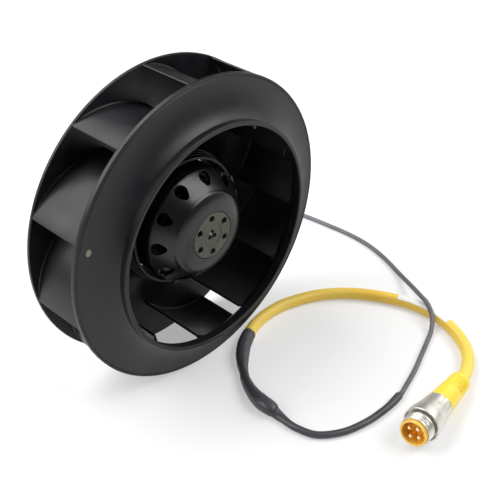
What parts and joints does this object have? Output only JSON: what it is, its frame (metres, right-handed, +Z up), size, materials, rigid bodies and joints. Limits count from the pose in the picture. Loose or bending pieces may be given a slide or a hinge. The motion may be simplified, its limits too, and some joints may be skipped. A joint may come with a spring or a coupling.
{
  "type": "plug fan",
  "caption": "Backward-curved centrifugal fan wheel on an external-rotor motor, standing on its rim, with its lead, splice, yellow supply cable and round screw connector.",
  "frame": {"origin": "on the floor under the middle of the fan wheel and motor, where the wheel's rim stands", "axes": "+Z up, +Y along the shaft from the air inlet to the mounting face, +X to the right seen from the inlet"},
  "size_m": [0.3113, 0.2847, 0.225],
  "materials": {
    "black_nylon": "satin black glass-filled nylon",
    "black_paint": "satin black",
    "die_cast": "as cast",
    "green_cast": "passivated, greenish grey",
    "steel": "ground",
    "electrical_steel": "laminated, dull",
    "copper": "enamelled copper wire",
    "insulator": "matt polyester",
    "rubber": "matt black",
    "lead_jacket": "satin black PVC",
    "shrink": "wrinkled black heat-shrink",
    "yellow_jacket": "satin yellow PVC",
    "yellow_boot": "satin moulded yellow PVC",
    "nickel": "satin nickel plate",
    "amber": "glossy amber",
    "gold": "gold plate"
  },
  "bodies": {
    "motor_base": {"motor_flange": "die_cast", "bearing_cover": "steel", "preload_spring": "steel", "front_bearing_outer_ring": "steel", "back_bearing_outer_ring": "steel", "stator_core": "electrical_steel", "insulator_front": "insulator", "insulator_back": "insulator", "winding_front": "copper", "winding_back": "copper", "thermal_protector": "insulator", "lead_grommet": "rubber", "motor_lead": "lead_jacket", "thin_sleeve": "shrink", "splice_sleeve": "shrink", "supply_cable": "yellow_jacket", "connector_boot": "yellow_boot", "contact_carrier": "amber", "contact_pin_1": "gold", "contact_pin_2": "gold", "contact_pin_3": "gold", "contact_pin_4": "gold"},
    "impeller": {"inlet_ring": "black_nylon", "back_plate": "black_nylon", "blade_01": "black_nylon", "blade_02": "black_nylon", "blade_03": "black_nylon", "blade_04": "black_nylon", "blade_05": "black_nylon", "blade_06": "black_nylon", "blade_07": "black_nylon", "blade_08": "black_nylon", "blade_09": "black_nylon", "blade_10": "black_nylon", "blade_11": "black_nylon", "rotor_bell": "black_paint", "hub_insert": "green_cast", "rotor_can": "black_paint", "rotor_core": "electrical_steel", "cage_ring_front": "die_cast", "cage_ring_back": "die_cast", "rotor_shaft": "steel", "shaft_circlip": "steel", "front_bearing_inner_ring": "steel", "front_bearing_balls": "steel", "back_bearing_inner_ring": "steel", "back_bearing_balls": "steel", "balance_clip_1": "steel", "balance_clip_2": "steel"},
    "nut": {"coupling_nut": "nickel"}
  },
  "joints": [
    {"name": "impeller_spin", "type": "hinge", "parent": "motor_base", "child": "impeller", "pos_m": [0, 0, 0.1125], "axis": [0, -1, 0], "continuous": true},
    {"name": "nut_spin", "type": "hinge", "parent": "motor_base", "child": "nut", "pos_m": [0.04491, -0.18981, 0.01324], "axis": [-0.9866, -0.1159, 0.1149], "continuous": true}
  ]
}
